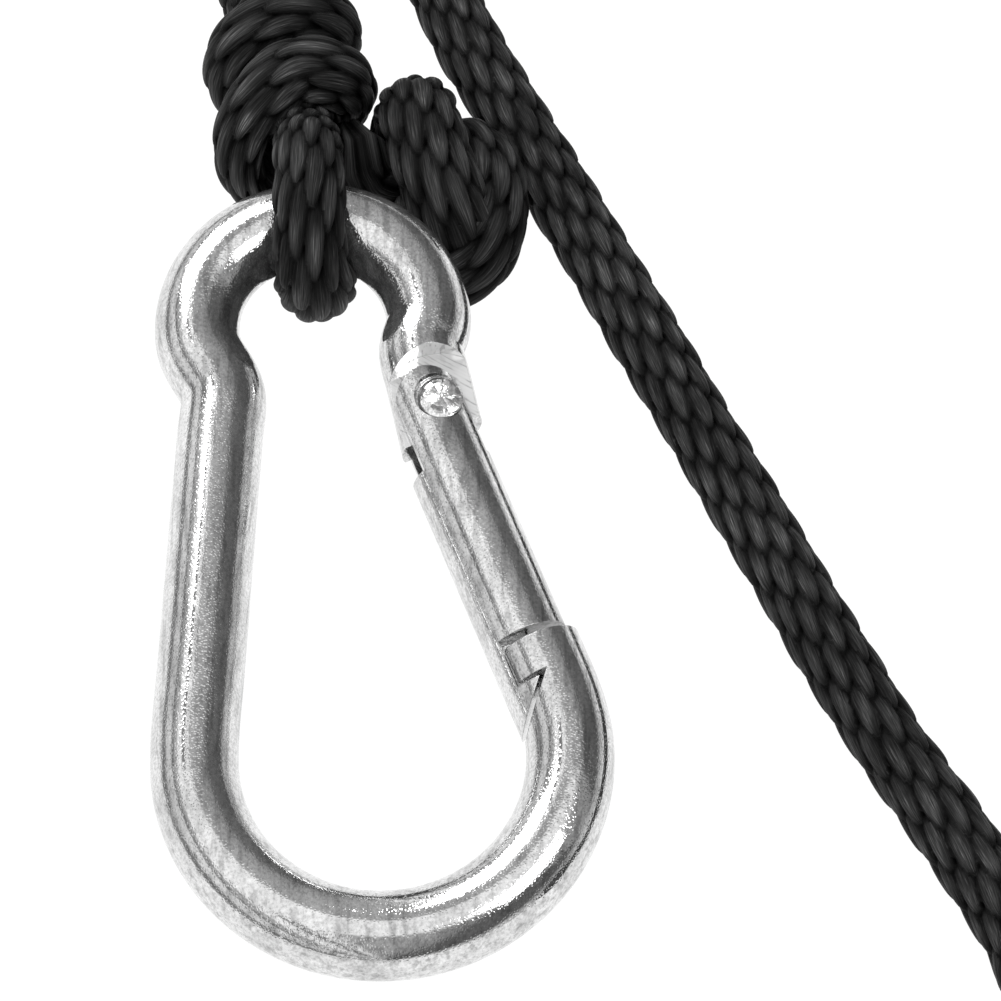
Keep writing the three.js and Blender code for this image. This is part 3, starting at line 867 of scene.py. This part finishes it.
def make_gate():
    """The bar with its fork, the flats that clear the prongs, and the wedge at its end."""
    heights = np.arange(WEDGE_INNER[1], FORK_TOP, 0.6)
    line = np.array([(0.0, y, 0.0) for y in np.append(heights, FORK_TOP)])
    gate = raw_piece("gate_bar", round_tube(line, GATE_BAR, 64), tube_faces(len(line), 64))
    # The fork's rounded crown and the flats on its two edges.
    crown = round_cutter(CROWN_X, 0.0, CROWN_RADIUS, -6, 6, 96, FORK_TOP / CROWN_RADIUS)
    cut(crown, box_cutter(-12, 12, -40, 0, -6, 6), "UNION")
    cut(gate, crown, "INTERSECT")
    cut(gate, box_cutter(-7, FORK_FLATS[0], FORK_SHOULDERS[0], 8, -6, 6))
    cut(gate, box_cutter(FORK_FLATS[1], 7, FORK_SHOULDERS[1], 8, -6, 6))
    # The fork's slot and the rivet's hole.
    cut(gate, box_cutter(-8, 8, FORK_DEPTH, 8, -FORK_SLOT, FORK_SLOT))
    cut(gate, round_cutter(RIVET_X, 0, RIVET_HOLE, -6, 6, 40))
    # On each side, a recess for the rivet's head and the flat beside the prong.
    for side in (1, -1):
        low, high = sorted((RECESS_FLOOR * side, 7 * side))
        cut(gate, round_cutter(RIVET_X, 0, RECESS_RADIUS, low, high, 64))
        low, high = sorted((BLADE_HALF * side, 8 * side))
        cut(gate, box_cutter(PRONG_INNER - GAP, 8, PRONG_END - 0.5, COLLAR, low, high))
    # The blade's outer edge, and the wedge's slanting face below the prongs.
    cut(gate, box_cutter(WEDGE_OUTER[0] - 0.1, 8, -40, COLLAR, -8, 8))
    keep = wedge_room(GAP + 0.1, PRONG_END + 0.01)
    cut(keep, box_cutter(-13, 13, PRONG_END, 12, -8.5, 8.5), "UNION")
    cut(gate, keep, "INTERSECT")
    gate.data.transform(TO_GATE)
    finish_metal(gate, TO_HOOK, "gate_arm", ZINC)
    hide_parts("gate")


def make_rivet():
    """Peened heads with small uneven facets, joined by the pin."""
    rng = np.random.default_rng(7)
    seeds = rng.uniform(-1.7, 1.7, size=(11, 2))
    tilts = rng.uniform(-0.16, 0.16, size=(11, 2))
    steps = rng.uniform(-0.10, 0.10, size=11)
    sides = 72
    turn = np.linspace(0, 2 * math.pi, sides, endpoint=False)
    radii = [RIVET_HEAD, 2.09, 2.02, 1.9, 1.7, 1.45, 1.15, 0.85, 0.55, 0.25, 0.02]
    rings = []
    for side in (-1, 1):
        head = []
        for r in radii:
            x, y = r * np.cos(turn), r * np.sin(turn)
            d = (x[:, None] - seeds[:, 0]) ** 2 + (y[:, None] - seeds[:, 1]) ** 2
            cell = np.argmin(d, axis=1)
            dome = RIVET_DOME - 0.5 * (r / RIVET_HEAD) ** 4
            facet = tilts[cell, 0] * x + tilts[cell, 1] * y + steps[cell]
            edge = float(smooth((2.05 - r) / 0.35))
            z = np.full(sides, dome) + facet * edge * 0.8
            head.append(np.stack([x, y, side * z], axis=1))
        under = np.full(sides, side * RIVET_UNDER)
        neck = [np.stack([r * np.cos(turn), r * np.sin(turn), under], axis=1)
                for r in (RIVET_HEAD, RIVET_PIN)]
        rings.append((head, neck))
    low_head, low_neck = rings[0]
    high_head, high_neck = rings[1]
    stack = low_head[::-1] + low_neck + high_neck[::-1] + high_head
    verts = np.concatenate(stack)
    verts[:, 0] += RIVET_X
    rivet = raw_piece("peened_rivet", verts, tube_faces(len(stack), sides))
    rivet.data.transform(TO_GATE)
    finish_metal(rivet, TO_HOOK, "gate_arm", RIVET, 14)
    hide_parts("hinge_rivet")


make_hook_body()
make_gate()
make_rivet()
for node in ("gate_spring", "spring_plunger"):
    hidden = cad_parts[node]
    hidden.data.materials.clear()
    hidden.data.materials.append(SPRING)

# ---------------------------------------------------------------- studio


def make_floor():
    """A white floor that shines by itself, so that it stays plain white round the object."""
    size = 4.0
    corners = [(-size, -size, 0), (size, -size, 0), (size, size, 0), (-size, size, 0)]
    floor = raw_piece("floor", corners, [(0, 1, 2, 3)])
    material, _, _, shader = new_material("white_floor")
    shader.inputs["Base Color"].default_value = (0.06, 0.06, 0.06, 1)
    shader.inputs["Roughness"].default_value = 0.9
    shader.inputs["Specular IOR Level"].default_value = 0.0
    shader.inputs["Emission Color"].default_value = (1, 1, 1, 1)
    shader.inputs["Emission Strength"].default_value = 1.01
    floor.data.materials.append(material)


def make_sky():
    """White soft boxes on the left and overhead, with dark gaps between them and a darker right side.

    The two ramps that run sideways go from the left horizon, 0, over the top, 0.5, to the right one, 1, and
    the lengthways one from the front horizon to the back one.
    """
    world = bpy.data.worlds.new("studio")
    scene.world = world
    world.use_nodes = True
    nodes, links = world.node_tree.nodes, world.node_tree.links
    background = nodes["Background"]
    coords = nodes.new("ShaderNodeTexCoord").outputs["Generated"]
    parts = nodes.new("ShaderNodeSeparateXYZ")
    links.new(coords, parts.inputs[0])

    def lean(axis):
        """Where a direction lies on the half circle over the top along an axis, from 0 to 1."""
        node = nodes.new("ShaderNodeMath")
        node.operation = "ARCTAN2"
        links.new(parts.outputs[axis], node.inputs[0])
        links.new(parts.outputs["Z"], node.inputs[1])
        share = nodes.new("ShaderNodeMapRange")
        share.inputs["From Min"].default_value = -math.pi / 2
        share.inputs["From Max"].default_value = math.pi / 2
        links.new(node.outputs[0], share.inputs["Value"])
        return share.outputs["Result"]

    sideways, lengthways = lean("X"), lean("Y")
    stops = [(0.0, 0.75), (0.03, 0.20), (0.07, 0.22), (0.10, 0.78), (0.185, 0.86), (0.19, 0.22), (0.22, 0.22),
             (0.225, 0.50), (0.27, 0.50), (0.275, 1.12), (0.335, 1.12), (0.345, 0.05), (0.38, 0.05),
             (0.388, 1.12), (0.43, 1.12), (0.437, 0.48), (0.56, 0.38), (0.66, 0.24), (0.69, 0.10),
             (0.90, 0.07), (0.94, 0.5), (1.0, 0.7)]
    sides = ramp(nodes, links, sideways, stops)
    over = ramp(nodes, links, lengthways,
                [(0.0, 0.15), (0.33, 0.25), (0.36, 1.08), (0.57, 1.08), (0.58, 0.2), (1, 0.1)])
    reach = ramp(nodes, links, sideways,
                 [(0.0, 0.6), (0.17, 0.6), (0.18, 0.2), (0.245, 0.2), (0.26, 1.0), (0.62, 1.0), (0.70, 0.3),
                  (1.0, 0.3)])
    overhead = blend(nodes, links, over, reach, 1.0, "MULTIPLY")
    links.new(blend(nodes, links, sides, overhead, 1.0, "LIGHTEN"), background.inputs["Color"])
    background.inputs["Strength"].default_value = 1.0


def add_area(name, location, target, size, power):
    """A square area light that faces the target."""
    data = bpy.data.lights.new(name, "AREA")
    data.energy = power
    data.size = size
    light = bpy.data.objects.new(name, data)
    light.location = location
    light.rotation_euler = (Vector(target) - Vector(location)).to_track_quat("-Z", "Y").to_euler()
    scene.collection.objects.link(light)


make_floor()
make_sky()
LIT = (0.01, 0.02, 0)
add_area("key", (-0.35, 0.55, 0.62), LIT, 0.45, 4.8)
add_area("fill", (0.5, -0.25, 0.8), LIT, 0.4, 2)
scene.view_settings.view_transform = "Standard"
scene.view_settings.look = "None"
